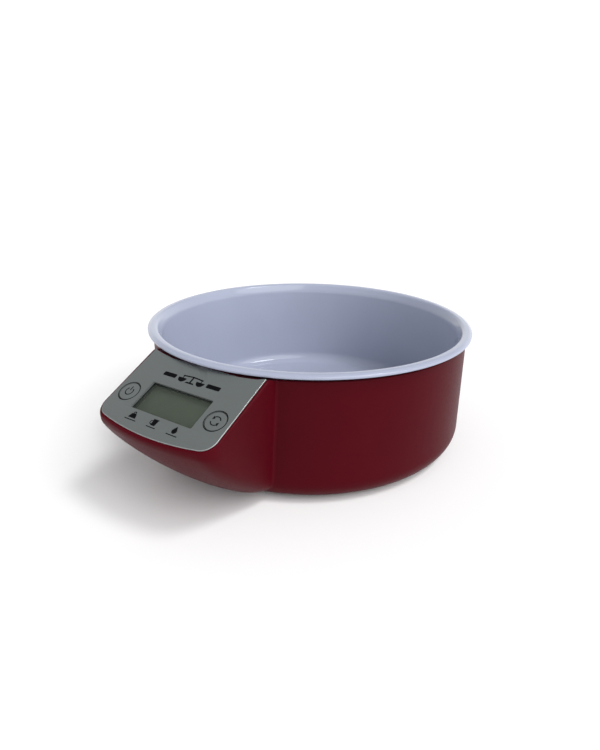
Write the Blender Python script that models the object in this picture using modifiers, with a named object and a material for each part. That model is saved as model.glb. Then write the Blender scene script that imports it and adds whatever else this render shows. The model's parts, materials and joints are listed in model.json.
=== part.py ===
"""Kitchen scale with a lift-off bowl: a round tub, a sloped control panel and a single-point load cell.

Units are metres, +Z up. The tub's axis is vertical, the control panel faces -Y, and the feet stand on z = 0.
Run with: blender --background --python part.py
"""

import math

import bmesh
import bpy
from mathutils import Matrix, Vector

# ---- driving dimensions -------------------------------------------------------------------------
GAP = 0.0003                   # between pieces that touch
WALL = 0.0022                  # moulded wall of the housing and the base
ROUND_STEPS = 64               # facets of the large turned pieces
SMALL_STEPS = 24               # facets of screws, posts and buttons

RIM_RADIUS = 0.0950            # outer edge of the bowl's rim
RIM_TOP = 0.0702
TUB_RADIUS = 0.0920            # outside of the round housing, at its top
TUB_FLARE = 0.0008             # the wall leans out by this much towards the underside
TUB_TOP = 0.0660
TUB_BOTTOM = 0.0010            # the housing hangs clear of the surface by this much
TUB_FOOT_ROUND = 0.0115        # rounding between the wall and the underside

PANEL_Y, PANEL_Z = 0.0915, 0.0671              # a point of the panel's face: ahead of the axis, and its height
PANEL_SLOPE = math.radians(26.7)
PANEL_LENGTH = 0.0462          # down the slope from that point to the nose
PANEL_WALL = 0.0020
NOSE_BOW = 0.0026              # how far the middle of the nose stands ahead of its corners
NOSE_CORNER = 0.0085
NOSE_BAND = 0.0017             # height of the upright band round the nose
CONSOLE_HALF_WIDTHS = (0.0346, 0.0366)         # above the keel, and at the top
KEEL_HALF_WIDTH = 0.0200       # width of the console where it reaches the underside
KEEL_ROUND = 0.0120            # height over which the console narrows to its keel
KEEL_HEEL = 0.0050             # rounding where the console's underside meets the tub's
BOW_BULGE = 0.0175             # fullness of the console's underside

OVERLAY_THICK = 0.0010
OVERLAY_PROUD = 0.0003
OVERLAY_HALF_WIDTH = 0.0354
OVERLAY_TOP, OVERLAY_END = -0.0006, 0.0445     # down the slope
DISPLAY_HALF = (0.0189, 0.0082)
DISPLAY_CENTRE = 0.0254        # down the slope
BUTTON_OFFSET = 0.0270
BUTTON_DOWN = 0.0262           # down the slope
BUTTON_RADIUS = 0.0054

OPENING_RADIUS = 0.0800        # hole in the housing's underside, closed by the base cover
BASE_THICK = 0.0016
BOWL_FLOOR = 0.0108            # top of the bowl's floor
BOWL_WALL = 0.0015
BOWL_FOOT_RING = (0.0700, 0.0716, 0.0080)      # inner and outer radius, and height of its lower edge
PLATFORM_RADIUS = 0.0690
PLATFORM_TOP, PLATFORM_LOW = 0.0090, 0.0079
CELL_SIZE = (0.0470, 0.0120, 0.0040)
CELL_BOTTOM = 0.0033
CELL_HOLES = (0.0140, 0.0200)  # screw holes, from the middle of the beam
DOOR_CENTRE = (0.0, 0.0450)
DOOR_RADIUS = 0.0120
FOOT_RADIUS, FOOT_RING = 0.0065, 0.0620
POST_RING = 0.0755             # base screws, from the tub's axis
POST_ANGLES = [math.radians(a) for a in (20, 160, 200, 340)]

NOSE_REACH = PANEL_Y + PANEL_LENGTH * math.cos(PANEL_SLOPE)
NOSE_TOP = PANEL_Z - PANEL_LENGTH * math.sin(PANEL_SLOPE)
AXIS_Y = (NOSE_REACH - RIM_RADIUS) / 2          # puts the origin under the middle of the whole scale
BASE_TOP = TUB_BOTTOM + BASE_THICK

# ---- materials: colour, roughness, metallic -----------------------------------------------------
MATERIALS = {
    "red_plastic": ((0.20, 0.010, 0.018), 0.32, 0.0),
    "white_plastic": ((0.62, 0.66, 0.80), 0.15, 0.0),
    "silver_overlay": ((0.27, 0.29, 0.29), 0.40, 0.2),
    "black_plastic": ((0.02, 0.02, 0.02), 0.50, 0.0),
    "clear_plastic": ((0.80, 0.85, 0.85), 0.05, 0.0),
    "lcd_glass": ((0.12, 0.14, 0.09), 0.20, 0.0),
    "board": ((0.02, 0.16, 0.06), 0.45, 0.0),
    "rubber": ((0.05, 0.05, 0.05), 0.85, 0.0),
    "steel": ((0.60, 0.60, 0.62), 0.30, 1.0),
    "aluminium": ((0.75, 0.76, 0.78), 0.35, 1.0),
    "sealant": ((0.85, 0.85, 0.82), 0.60, 0.0),
    "red_wire": ((0.60, 0.03, 0.03), 0.45, 0.0),
    "black_wire": ((0.03, 0.03, 0.03), 0.45, 0.0),
    "grey_cable": ((0.35, 0.35, 0.36), 0.50, 0.0),
}


def start_scene():
    """Empties the scene and returns the collections for the pieces and for the cutters."""
    for obj in list(bpy.data.objects):
        bpy.data.objects.remove(obj)
    made = []
    for name in ("kitchen_scale", "cutters"):
        collection = bpy.data.collections.new(name)
        bpy.context.scene.collection.children.link(collection)
        made.append(collection)
    return made


PIECES, CUTTERS = start_scene()


def material(name):
    """The named material, made once."""
    found = bpy.data.materials.get(name)
    if found:
        return found
    colour, roughness, metallic = MATERIALS[name]
    made = bpy.data.materials.new(name)
    made.use_nodes = True
    shader = made.node_tree.nodes["Principled BSDF"]
    shader.inputs["Base Color"].default_value = (*colour, 1.0)
    shader.inputs["Roughness"].default_value = roughness
    shader.inputs["Metallic"].default_value = metallic
    return made


def empty(name, matrix, parent=None):
    made = bpy.data.objects.new(name, None)
    PIECES.objects.link(made)
    made.parent = parent
    made.matrix_basis = matrix
    return made


TUB = empty("tub_axis", Matrix.Translation((0, AXIS_Y, 0)))
PANEL = empty(
    "panel_plane",
    Matrix.Translation((0, -PANEL_Y, PANEL_Z)) @ Matrix.Rotation(PANEL_SLOPE, 4, "X"),
    TUB,
)   # its +X runs across the panel, +Y up the slope and +Z out of the panel's face


def place(obj, parent, at=(0, 0, 0), turn=0.0):
    """Parents an object and stands it at a point of its parent, turned about Z."""
    obj.parent = parent
    obj.matrix_basis = Matrix.Translation(at) @ Matrix.Rotation(turn, 4, "Z")
    return obj


def new_object(name, mesh, parent=TUB, at=(0, 0, 0), turn=0.0):
    obj = bpy.data.objects.new(name, mesh)
    PIECES.objects.link(obj)
    return place(obj, parent, at, turn)


def mesh_from(name, build):
    """A mesh made by a function that fills a bmesh."""
    bm = bmesh.new()
    build(bm)
    bmesh.ops.recalc_face_normals(bm, faces=bm.faces)
    mesh = bpy.data.meshes.new(name)
    bm.to_mesh(mesh)
    bm.free()
    return mesh


def box(name, size, low, parent=TUB, centre=(0, 0), turn=0.0):
    """A box standing on height low, centred on a point of its parent's XY plane."""
    def build(bm):
        bmesh.ops.create_cube(bm, size=1.0)
        bmesh.ops.scale(bm, vec=size, verts=bm.verts)
        bmesh.ops.translate(bm, vec=(0, 0, size[2] / 2), verts=bm.verts)
    return new_object(name, mesh_from(name, build), parent, (*centre, low), turn)


def cylinder(name, radius, low, high, parent=TUB, centre=(0, 0), steps=SMALL_STEPS):
    """A cylinder along Z, from height low to height high."""
    def build(bm):
        bmesh.ops.create_cone(
            bm, cap_ends=True, segments=steps, radius1=radius, radius2=radius, depth=high - low,
        )
        bmesh.ops.translate(bm, vec=(0, 0, (high - low) / 2), verts=bm.verts)
    return new_object(name, mesh_from(name, build), parent, (*centre, low))


def turned(name, profile, closed=False, steps=ROUND_STEPS, parent=TUB, at=(0, 0, 0)):
    """A profile of (radius, height) points turned about Z. It runs down the outer side."""
    mesh = bpy.data.meshes.new(name)
    count = len(profile)
    edges = [(i, i + 1) for i in range(count - 1)] + ([(count - 1, 0)] if closed else [])
    mesh.from_pydata([(r, 0, z) for r, z in profile], edges, [])
    obj = new_object(name, mesh, parent, at)
    screw = obj.modifiers.new("turn", "SCREW")
    screw.steps = screw.render_steps = steps
    screw.use_merge_vertices = True
    screw.merge_threshold = 0.00001
    screw.use_smooth_shade = True
    return obj


def arc(centre, radius, start, end, steps):
    """Points of an arc in degrees, both ends included."""
    angles = [math.radians(start + (end - start) * i / steps) for i in range(steps + 1)]
    return [(centre[0] + radius * math.cos(a), centre[1] + radius * math.sin(a)) for a in angles]


def plate(name, outline, low, high, parent=PANEL, centre=(0, 0)):
    """A flat outline, extruded between two heights of its parent, as a welded mesh."""
    curve = bpy.data.curves.new(name, "CURVE")
    curve.dimensions = "2D"
    curve.fill_mode = "BOTH"
    curve.extrude = (high - low) / 2
    spline = curve.splines.new("POLY")
    spline.points.add(len(outline) - 1)
    for point, (x, y) in zip(spline.points, outline):
        point.co = (x, y, 0, 1)
    spline.use_cyclic_u = True
    return meshed(new_object(name, curve, parent, (*centre, (low + high) / 2)))


def meshed(obj):
    """Turns a curve object into a mesh object with welded caps."""
    bpy.context.view_layer.update()
    graph = bpy.context.evaluated_depsgraph_get()
    mesh = bpy.data.meshes.new_from_object(obj.evaluated_get(graph))
    bm = bmesh.new()
    bm.from_mesh(mesh)
    bmesh.ops.remove_doubles(bm, verts=bm.verts, dist=0.000005)
    bm.to_mesh(mesh)
    bm.free()
    name, parent, basis = obj.name, obj.parent, obj.matrix_basis.copy()
    bpy.data.objects.remove(obj)
    made = new_object(name, mesh, parent)
    made.matrix_basis = basis
    return made


def wire(name, route, radius, colour):
    """A round wire along a smooth curve through the route's points."""
    points = smooth_line([Vector(p) for p in route], steps=3)
    curve = bpy.data.curves.new(name, "CURVE")
    curve.dimensions = "3D"
    curve.bevel_depth = radius
    curve.bevel_resolution = 1
    curve.use_fill_caps = True
    spline = curve.splines.new("POLY")
    spline.points.add(len(points) - 1)
    for point, co in zip(spline.points, points):
        point.co = (*co, 1)
    return finish(new_object(name, curve), colour)


def smooth_line(points, steps):
    """Catmull-Rom points through a route."""
    ends = [2 * points[0] - points[1], *points, 2 * points[-1] - points[-2]]
    line = []
    for a, b, c, d in zip(ends, ends[1:], ends[2:], ends[3:]):
        for i in range(steps):
            t = i / steps
            line.append(0.5 * (2 * b + (c - a) * t + (2 * a - 5 * b + 4 * c - d) * t * t
                               + (3 * b - a - 3 * c + d) * t ** 3))
    return [*line, points[-1]]


def combine(target, operation, *others):
    """Adds a Boolean modifier for each other object, which becomes a hidden helper."""
    for other in others:
        modifier = target.modifiers.new(f"{operation.lower()} {other.name}", "BOOLEAN")
        modifier.operation = operation
        modifier.object = other
        other.hide_render = True
        other.display_type = "WIRE"
        PIECES.objects.unlink(other)
        CUTTERS.objects.link(other)
    return target


def cut(target, *others):
    return combine(target, "DIFFERENCE", *others)


def join(target, *others):
    return combine(target, "UNION", *others)


def finish(obj, colour):
    """Gives a piece its material and smooth round faces."""
    obj.data.materials.clear()
    obj.data.materials.append(material(colour))
    if obj.type == "MESH":
        obj.data.shade_smooth()
        obj.data.set_sharp_from_angle(angle=math.radians(35))
    return obj


def polar(radius, angle):
    return radius * math.cos(angle), radius * math.sin(angle)


def on_panel(across, down):
    """A point of the panel plane's frame: across the panel, and down its slope."""
    return across, -down


# ---- outlines -----------------------------------------------------------------------------------
def bowed_outline(half_width, back, front, corner, bow, corner_steps=5, bow_steps=6):
    """Plan of a panel: straight back at y = back, round front corners and a bowed front at y = front."""
    edge = front + bow
    points = [(half_width, back)]
    points += reversed(arc((half_width - corner, edge + corner), corner, -90, 0, corner_steps))
    inner = half_width - corner
    for i in range(1, bow_steps):
        x = inner - 2 * inner * i / bow_steps
        points.append((x, front + bow * (x / inner) ** 2))
    points += reversed(arc((corner - half_width, edge + corner), corner, 180, 270, corner_steps))
    points.append((-half_width, back))
    return points


def rectangle(half_x, half_y, corner, steps=3):
    """Outline of a rectangle with round corners, centred on 0."""
    points = []
    for i, (sx, sy) in enumerate([(1, 1), (-1, 1), (-1, -1), (1, -1)]):
        points += arc((sx * (half_x - corner), sy * (half_y - corner)), corner, 90 * i, 90 * i + 90, steps)
    return points


def bow_reach(height):
    """How far the console's underside stands ahead of the tub's axis at a height."""
    low, high = TUB_BOTTOM, NOSE_TOP - NOSE_BAND
    share = min(1.0, max(0.0, (height - low) / (high - low)))
    chord = TUB_RADIUS - 0.0005 + share * (NOSE_REACH - TUB_RADIUS + 0.0005)
    heel = max(0.0, 1 - (height - low) / KEEL_HEEL)
    return chord + BOW_BULGE * share * (1 - share) * (0.85 + 0.3 * share) - KEEL_HEEL * heel ** 2


def console_half_width(height):
    """Half the console's width at a height: rounded out from the keel, then widening a little."""
    low, high = CONSOLE_HALF_WIDTHS
    full = low + (high - low) * min(1.0, height / PANEL_Z)
    rise = min(1.0, max(0.0, (height - TUB_BOTTOM) / KEEL_ROUND))
    return KEEL_HALF_WIDTH + (full - KEEL_HALF_WIDTH) * math.sqrt(1 - (1 - rise) ** 2)


CONSOLE_LEVELS = (0, 0.0008, 0.0024, 0.0050, 0.0085, 0.0130, 0.0190, 0.0260, 0.0330, 0.0390)


def console_body(name, inset, low, back):
    """The console as a loft of level outlines, drawn in by inset on every side."""
    heights = [low + h for h in CONSOLE_LEVELS] + [NOSE_TOP - NOSE_BAND, NOSE_TOP, 0.0720]

    def build(bm):
        rings = []
        for height in heights:
            half = console_half_width(height) - inset
            reach = bow_reach(height) - inset
            depth = max(0.0, 1 - height / NOSE_TOP)
            corner = min(NOSE_CORNER + 0.0085 * depth ** 1.5, half * 0.8)
            outline = bowed_outline(half, -back, -reach, corner, NOSE_BOW)
            rings.append([bm.verts.new((x, y, height)) for x, y in outline])
        for lower, upper in zip(rings, rings[1:]):
            for i, vert in enumerate(lower):
                j = (i + 1) % len(lower)
                bm.faces.new((vert, lower[j], upper[j], upper[i]))
        bm.faces.new(reversed(rings[0]))
        bm.faces.new(rings[-1])
    return new_object(name, mesh_from(name, build))


def rim_room(name, extra=0.0):
    """Room for the bowl's rim above the housing's edge, a little wider than the rim."""
    low = TUB_TOP + 0.0002
    profile = [(0, 0.080), (0.0958 + extra, 0.080), (0.0958 + extra, 0.0674), (0.0932 + extra, low), (0, low)]
    return turned(name, profile)


# ---- housing ------------------------------------------------------------------------------------
def tub_profile(inset, top):
    """Solid of the tub's outside, drawn in by inset: radius and height, down the outer side."""
    foot = TUB_FOOT_ROUND - inset
    edge = TUB_RADIUS + TUB_FLARE - inset
    low = TUB_BOTTOM + inset
    corner = reversed(arc((edge - foot, low + foot), foot, -90, 0, 6))
    return [(0, top), (TUB_RADIUS - inset, top), *corner]


def base_screw_posts():
    """Posts inside the tub that take the base screws, each on a rib from the wall."""
    made = []
    for i, angle in enumerate(POST_ANGLES):
        low, high = BASE_TOP + 0.0018, 0.0082
        post = cylinder(f"post_{i}", 0.0036, low, high, centre=polar(POST_RING, angle), steps=16)
        rib = box(f"rib_{i}", (0.0130, 0.0020, high - low - 0.0004), low + 0.0002,
                  centre=polar(POST_RING + 0.0065, angle), turn=angle)
        made += [post, rib]
    return made


BOARD_SCREWS = [(0.0282 * side, down) for side in (-1, 1) for down in (0.0152, 0.0356)]
BOARD_FACE = -0.0082           # component side of the board, below the panel's face
BOARD_THICK = 0.0016
BOARD_HALF = (0.0312, 0.0132)


def make_housing():
    housing = turned("housing", [*tub_profile(0, TUB_TOP), (0, TUB_BOTTOM)])
    join(housing, console_body("console_outside", 0, TUB_BOTTOM + 0.0002, 0.0600))
    above_console = box("above_console", (0.3, 0.4, 0.02), 0.0675)
    above_panel = box("above_panel", (0.1, 0.1, 0.02), 0, parent=PANEL)
    floor = TUB_BOTTOM + WALL
    well = turned("well", [*tub_profile(WALL, TUB_TOP + 0.005), (0, floor)])
    opening = cylinder("opening", OPENING_RADIUS, -0.004, floor + 0.001, steps=ROUND_STEPS)
    cavity = console_body("console_inside", WALL, floor + 0.0004, 0.0650)
    cut(cavity, box("above_cavity", (0.1, 0.2, 0.03), -PANEL_WALL, parent=PANEL))
    cut(housing, above_console, above_panel, rim_room("housing_rim_room"), well, opening, cavity)
    join(housing, *base_screw_posts())
    bosses = [
        cylinder(f"boss_{i}", 0.0023, BOARD_FACE + GAP, -0.0012, PANEL, on_panel(*p), 12)
        for i, p in enumerate(BOARD_SCREWS)
    ]
    join(housing, *bosses)
    pocket = plate(
        "overlay_pocket",
        bowed_outline(OVERLAY_HALF_WIDTH + GAP, -OVERLAY_TOP + GAP, -OVERLAY_END - GAP, NOSE_CORNER - 0.0009, NOSE_BOW),
        -OVERLAY_THICK, 0.004,
    )
    window = plate("display_hole", rectangle(0.0206, 0.0099, 0.001), -0.005, 0.003, PANEL,
                   on_panel(0, DISPLAY_CENTRE))
    keys = [
        cylinder(f"key_hole_{i}", 0.0036, -0.005, 0.003, PANEL, on_panel(side * BUTTON_OFFSET, BUTTON_DOWN))
        for i, side in enumerate((-1, 1))
    ]
    pilots = [
        cylinder(f"pilot_{i}", 0.0017, 0, 0.0105, centre=polar(POST_RING, angle), steps=16)
        for i, angle in enumerate(POST_ANGLES)
    ]
    board_pilots = [
        cylinder(f"board_pilot_{i}", 0.0012, -0.010, -0.0040, PANEL, on_panel(*p), 12)
        for i, p in enumerate(BOARD_SCREWS)
    ]
    cut(housing, pocket, window, *keys, *pilots, *board_pilots)
    return finish(housing, "red_plastic")


# ---- bowl and platform --------------------------------------------------------------------------
def make_bowl():
    inside_foot = 0.0840
    corner = 0.0075
    centre = (inside_foot - corner, BOWL_FLOOR + corner)
    low = BOWL_FLOOR - BOWL_WALL
    ring_inner, ring_outer, ring_low = BOWL_FOOT_RING
    profile = [
        (0, BOWL_FLOOR),
        *arc(centre, corner, -90, 0, 5),
        (0.0869, 0.0648), (0.0873, 0.0680), (0.0885, 0.0696), (0.0905, RIM_TOP), (0.0925, RIM_TOP),
        (0.0943, 0.0698), (RIM_RADIUS, 0.0689), (0.0947, 0.0680), (0.0938, 0.0674), (0.0924, 0.0672),
        (0.0902, 0.0676), (0.0888, 0.0666), (0.0884, 0.0648),
        *reversed(arc(centre, corner + BOWL_WALL, -90, 0, 5)),
        (ring_outer, low), (ring_outer, ring_low), (ring_inner, ring_low), (ring_inner, low), (0, low),
    ]
    return finish(turned("bowl", profile), "white_plastic")


def make_platform():
    edge = 0.0003
    cell_top = CELL_BOTTOM + CELL_SIZE[2]
    profile = [
        (0, PLATFORM_TOP), (PLATFORM_RADIUS - edge, PLATFORM_TOP), (PLATFORM_RADIUS, PLATFORM_TOP - edge),
        (PLATFORM_RADIUS, PLATFORM_LOW), (0, PLATFORM_LOW),
    ]
    platform = turned("weighing_platform", profile)
    spacer_low = cell_top + GAP
    spacer = box("platform_spacer", (0.0110, 0.0120, PLATFORM_LOW - spacer_low + 0.0005), spacer_low,
                 centre=(0.0170, 0))
    join(platform, spacer)
    for i, x in enumerate(CELL_HOLES):
        hole = cylinder(f"platform_hole_{i}", 0.0018, 0.006, 0.020, centre=(x, 0), steps=16)
        sink = cylinder(f"platform_sink_{i}", 0.0031, PLATFORM_TOP - 0.0008, 0.020, centre=(x, 0), steps=16)
        cut(platform, hole, sink)
    return finish(platform, "black_plastic")


# ---- load cell ----------------------------------------------------------------------------------
def make_load_cell():
    length, width, height = CELL_SIZE
    cell = box("load_cell", CELL_SIZE, CELL_BOTTOM)
    middle = CELL_BOTTOM + height / 2
    for i, x in enumerate((-0.0035, 0.0035)):
        hole = cylinder(f"gauge_hole_{i}", 0.0014, -width, width, centre=(0, 0), steps=16)
        hole.matrix_basis = Matrix.Translation((x, width, middle)) @ Matrix.Rotation(math.radians(90), 4, "X")
        cut(cell, hole)
    cut(cell, box("gauge_slot", (0.0070, 0.03, 0.0010), middle - 0.0005))
    for i, x in enumerate((*CELL_HOLES, *[-x for x in CELL_HOLES])):
        cut(cell, cylinder(f"cell_hole_{i}", 0.0018, 0, 0.02, centre=(x, 0), steps=16))
    finish(cell, "aluminium")
    top = CELL_BOTTOM + height
    pad = plate("gauge_sealant", rectangle(0.0070, 0.0045, 0.0015), top + 0.0001, top + 0.0003, TUB)
    return finish(pad, "sealant")


def screw(name, parent, centre, head_low, head_high, tip, head_radius, radius, steps=16):
    """A pan-head screw with a cross recess. The shank runs from the head to the tip, either way along Z."""
    head = cylinder(name, head_radius, head_low, head_high, parent, centre, steps)
    up = tip > head_high
    start, end = (head_high - 0.0002, tip) if up else (tip, head_low + 0.0002)
    shank = cylinder(f"{name}_shank", radius, start, end, parent, centre, steps)
    join(head, shank)
    depth = (head_high - head_low) / 2
    face = head_low - depth if up else head_high - depth
    for i, size in enumerate(((1.2, 0.3), (0.3, 1.2))):
        arm = (head_radius * size[0], head_radius * size[1], 2 * depth)
        cut(head, box(f"{name}_recess_{i}", arm, face, parent, centre))
    return finish(head, "steel")


def make_cell_screws():
    for i, x in enumerate(CELL_HOLES):
        screw(f"platform_screw_{i + 1}", TUB, (x, 0), PLATFORM_TOP - 0.0007, PLATFORM_TOP - 0.0001,
              CELL_BOTTOM + 0.0004, 0.0028, 0.0014)
        screw(f"cell_screw_{i + 1}", TUB, (-x, 0), TUB_BOTTOM + 0.0001, TUB_BOTTOM + 0.0007,
              CELL_BOTTOM + 0.0036, 0.0028, 0.0014)


# ---- base cover, feet and battery ---------------------------------------------------------------
CUP_INNER, CUP_OUTER, CUP_TOP = 0.0145, 0.0160, 0.0075
LEDGE_TOP = 0.0020             # the door's lugs turn above this ledge
LUG_REACH = 0.0138
LUG_REST = math.radians(50)    # the lugs stand this far round from the notches
NOTCH_HALF = 0.0042
HUB_RISE = 0.0006
CONTACT_LOW, CONTACT_THICK = 0.0064, 0.0003


def make_base_cover():
    radius = OPENING_RADIUS - 0.0004
    cover = turned("base_cover", [(0, BASE_TOP), (radius, BASE_TOP), (radius, TUB_BOTTOM), (0, TUB_BOTTOM)])
    pad_top = CELL_BOTTOM - GAP
    cell_pad = box("cell_pad", (0.0110, 0.0120, pad_top - BASE_TOP + 0.0005), BASE_TOP - 0.0005,
                   centre=(-0.0170, 0))
    bosses = [
        cylinder(f"base_boss_{i}", 0.0048, BASE_TOP - 0.0005, BASE_TOP + 0.0015, centre=polar(0.0745, angle),
                 steps=20)
        for i, angle in enumerate(POST_ANGLES)
    ]
    stops = [
        cylinder(f"stop_{i}", 0.0020, BASE_TOP - 0.0005, 0.0075, centre=polar(0.0600, math.radians(a)), steps=8)
        for i, a in enumerate((50, 130, 230, 310))
    ]
    cup = cylinder("battery_cup", CUP_OUTER, BASE_TOP - 0.0005, CUP_TOP, centre=DOOR_CENTRE, steps=32)
    join(cover, cell_pad, *bosses, *stops, cup)
    cup_room = cylinder("cup_room", CUP_INNER, LEDGE_TOP, CUP_TOP - 0.0006, centre=DOOR_CENTRE, steps=32)
    doorway = cylinder("doorway", DOOR_RADIUS + 0.0003, 0, LEDGE_TOP + 0.001, centre=DOOR_CENTRE, steps=32)
    notches = box("notches", (2 * (LUG_REACH + 0.0004), 2 * NOTCH_HALF, LEDGE_TOP + 0.001), 0, centre=DOOR_CENTRE)
    slots = box("contact_slots", (0.05, 0.0052, 0.0009), CONTACT_LOW - 0.0003, centre=DOOR_CENTRE)
    cut(cover, cup_room, doorway, notches, slots)
    for i, angle in enumerate(POST_ANGLES):
        centre = polar(POST_RING, angle)
        cut(cover, cylinder(f"base_hole_{i}", 0.0018, 0, 0.012, centre=centre, steps=16))
        cut(cover, cylinder(f"base_sink_{i}", 0.0031, 0, BASE_TOP + 0.0004, centre=centre, steps=20))
    for i, x in enumerate(CELL_HOLES):
        cut(cover, cylinder(f"cell_bolt_{i}", 0.0018, 0, 0.012, centre=(-x, 0), steps=16))
        cut(cover, cylinder(f"cell_sink_{i}", 0.0031, 0, TUB_BOTTOM + 0.0010, centre=(-x, 0), steps=16))
    for i, centre in enumerate(FOOT_CENTRES):
        recess = cylinder(f"foot_recess_{i}", FOOT_RADIUS + 0.0003, 0, TUB_BOTTOM + 0.0008, centre=centre)
        cut(cover, recess)
    return finish(cover, "black_plastic")


FOOT_CENTRES = [polar(FOOT_RING, math.radians(a)) for a in (45, 135, 225, 315)]


def make_feet():
    """Rubber pads with a small chamfer round the face that meets the table."""
    top = TUB_BOTTOM + 0.0005
    profile = [(0, top), (FOOT_RADIUS, top), (FOOT_RADIUS, 0.0005), (FOOT_RADIUS - 0.0005, 0), (0, 0)]
    names = ("back_right", "back_left", "front_left", "front_right")
    for name, centre in zip(names, FOOT_CENTRES):
        finish(turned(f"foot_{name}", profile, steps=SMALL_STEPS, at=(*centre, 0)), "rubber")


def make_base_screws():
    for i, angle in enumerate(POST_ANGLES):
        screw(f"base_screw_{i + 1}", TUB, polar(POST_RING, angle), TUB_BOTTOM + 0.0003, TUB_BOTTOM + 0.0015,
              0.0076, 0.0028, 0.0014)


def make_battery():
    x, y = DOOR_CENTRE
    door = cylinder("battery_door", DOOR_RADIUS, TUB_BOTTOM, LEDGE_TOP + 0.0002, centre=DOOR_CENTRE, steps=32)
    hub = cylinder("door_hub", 0.0112, LEDGE_TOP - 0.0002, LEDGE_TOP + HUB_RISE, centre=DOOR_CENTRE, steps=32)
    lugs = box("door_lugs", (2 * LUG_REACH, 0.0070, 0.0010), LEDGE_TOP + GAP, centre=DOOR_CENTRE, turn=LUG_REST)
    cell_room = cylinder("cell_room", 0.0104, LEDGE_TOP + HUB_RISE - 0.0001, 0.01, centre=DOOR_CENTRE, steps=32)
    cut(lugs, cell_room)
    join(door, hub, lugs)
    cut(door, box("coin_slot", (0.0150, 0.0018, 0.0018), TUB_BOTTOM - 0.0012, centre=DOOR_CENTRE))
    finish(door, "black_plastic")
    low = LEDGE_TOP + HUB_RISE + GAP
    edge = 0.0004
    cell = [(0, low + 0.0032), (0.0080, low + 0.0032), (0.0082, low + 0.0030), (0.0100 - edge, low + 0.0030),
            (0.0100, low + 0.0030 - edge), (0.0100, low + edge), (0.0100 - edge, low), (0, low)]
    finish(turned("coin_cell", cell, steps=32, at=(x, y, 0)), "steel")
    top = box("battery_contact_top", (0.0140, 0.0040, CONTACT_THICK), CONTACT_LOW, centre=(x + 0.0120, y))
    finish(top, "steel")
    side = box("battery_contact_side", (0.0088, 0.0040, CONTACT_THICK), CONTACT_LOW, centre=(x - 0.0148, y))
    leg = box("contact_leg", (0.0005, 0.0040, 0.0026), CONTACT_LOW - 0.0024, centre=(x - 0.01055, y))
    finish(join(side, leg), "steel")


# ---- panel: overlay, buttons, display and board -------------------------------------------------
def make_overlay():
    outline = bowed_outline(OVERLAY_HALF_WIDTH, -OVERLAY_TOP, -OVERLAY_END, NOSE_CORNER - 0.0012, NOSE_BOW)
    overlay = plate("panel_overlay", outline, -OVERLAY_THICK + GAP, OVERLAY_PROUD)
    hole = plate("overlay_window", rectangle(*DISPLAY_HALF, 0.0006), -0.004, 0.004, PANEL,
                 on_panel(0, DISPLAY_CENTRE))
    cut(overlay, hole, rim_room("overlay_rim_room", GAP))
    for i, side in enumerate((-1, 1)):
        centre = on_panel(side * BUTTON_OFFSET, BUTTON_DOWN)
        cut(overlay, cylinder(f"overlay_key_{i}", BUTTON_RADIUS + 0.0003, -0.004, 0.004, PANEL, centre, 40))
    return finish(overlay, "silver_overlay")


def make_buttons():
    """Each button is a thin cap on a stem with a snap collar under the panel, over its switch."""
    for name, side in (("zero", -1), ("mode", 1)):
        x, y = on_panel(side * BUTTON_OFFSET, BUTTON_DOWN)
        face, cap = OVERLAY_PROUD, -0.0005
        collar_top, collar_low, end = -0.0024, -0.0030, -0.0039
        profile = [
            (0, face), (BUTTON_RADIUS - 0.0002, face), (BUTTON_RADIUS, face - 0.0002), (BUTTON_RADIUS, cap),
            (0.0032, cap), (0.0032, collar_top), (0.0039, collar_top), (0.0033, collar_low), (0.0026, end), (0, end),
        ]
        button = turned(f"{name}_button", profile, steps=40, parent=PANEL, at=(x, y, 0))
        finish(button, "silver_overlay")
        body_low = BOARD_FACE + GAP
        body = box(f"{name}_switch", (0.0060, 0.0060, 0.0030), body_low, PANEL, (x, y))
        cut(body, cylinder(f"{name}_bore", 0.0020, body_low + 0.0010, 0, PANEL, (x, y), 20))
        finish(body, "black_plastic")
        plunger = cylinder(f"{name}_plunger", 0.0017, body_low + 0.0016, end - GAP, PANEL, (x, y), 20)
        finish(plunger, "black_plastic")


def make_display():
    centre = on_panel(0, DISPLAY_CENTRE)
    lens = plate("display_window", rectangle(0.0203, 0.0096, 0.0008), -0.0018, -0.0010 - 0.00002, PANEL, centre)
    finish(lens, "clear_plastic")
    low, high = BOARD_FACE + GAP, -0.0023
    frame = plate("display_frame", rectangle(0.0232, 0.0132, 0.0010), low, high, PANEL, centre)
    room = plate("frame_room", rectangle(0.0222, 0.0122, 0.0004), low - 0.001, high - 0.0007, PANEL, centre)
    light = plate("frame_window", rectangle(0.0192, 0.0085, 0.0004), -0.008, 0, PANEL, centre)
    cut(frame, room, light)
    finish(frame, "black_plastic")
    glass_top = high - 0.0010
    glass = plate("lcd_module", rectangle(0.0218, 0.0118, 0.0003), glass_top - 0.0022, glass_top, PANEL, centre)
    finish(glass, "lcd_glass")
    for i, side in enumerate((-1, 1)):
        strip_at = (centre[0], centre[1] + side * 0.0100)
        strip = box(f"contact_strip_{i + 1}", (0.0400, 0.0022, glass_top - 0.0022 - GAP - low), low, PANEL, strip_at)
        finish(strip, "rubber")


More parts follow.
